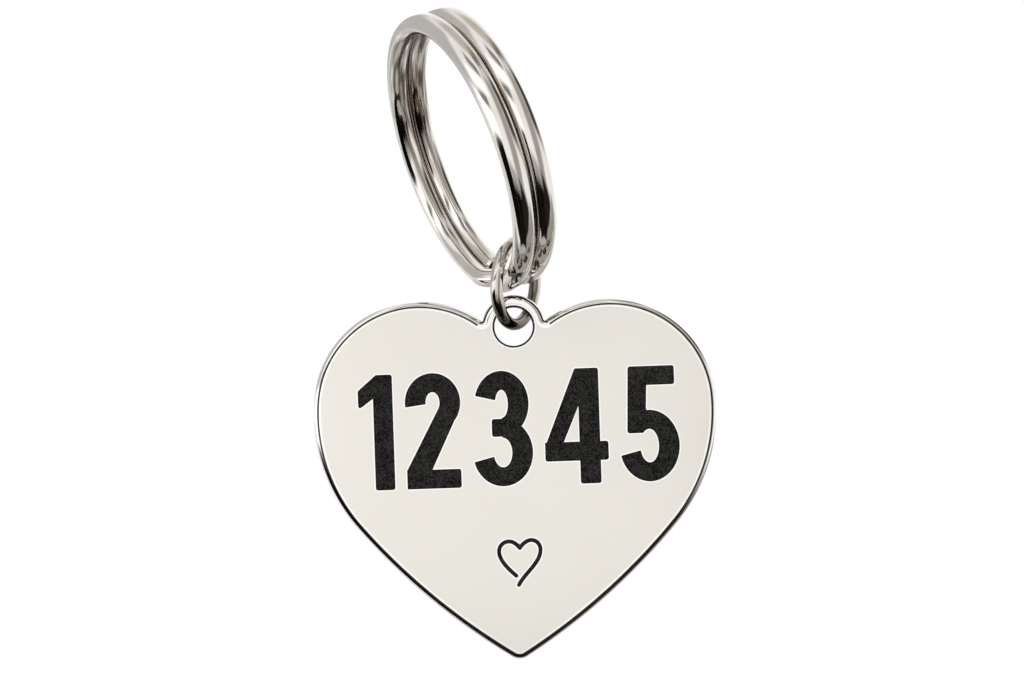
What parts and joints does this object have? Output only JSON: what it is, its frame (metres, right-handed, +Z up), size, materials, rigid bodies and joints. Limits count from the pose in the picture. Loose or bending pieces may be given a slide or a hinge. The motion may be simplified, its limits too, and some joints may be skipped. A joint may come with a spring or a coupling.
{
  "type": "pet id tag",
  "caption": "Heart-shaped polished metal pet id tag with a small engraved line heart, hung by a jump ring from a wound split ring that goes on a collar.",
  "frame": {"origin": "inside top of the split ring, midway between its two turns, where a collar's loop carries it", "axes": "+Z up, +X to the right and -Y towards the viewer, who looks at the tag's engraved face"},
  "size_m": [0.0325, 0.0221, 0.0513],
  "materials": {
    "split_ring_steel": "polished nickel-plated spring wire",
    "jump_ring_steel": "polished nickel-plated wire",
    "tag_metal": "polished steel, slightly warm, with a soft lustre",
    "black_enamel": "matt black filling with a fine grain"
  },
  "bodies": {
    "split_ring": {"split_ring": "split_ring_steel"},
    "jump_ring": {"jump_ring": "jump_ring_steel"},
    "tag": {"tag_plate": "tag_metal", "heart_line_enamel": "black_enamel"}
  },
  "joints": [
    {"name": "jump_ring_travel", "type": "hinge", "parent": "split_ring", "child": "jump_ring", "pos_m": [0.00356, 0.00137, -0.009], "axis": [0.8591, 0.3315, 0.3899], "continuous": true},
    {"name": "tag_swing", "type": "hinge", "parent": "jump_ring", "child": "tag", "pos_m": [0.00742, 0.00168, -0.02262], "axis": [0, 1, 0], "range_deg": [-40, 40]}
  ]
}
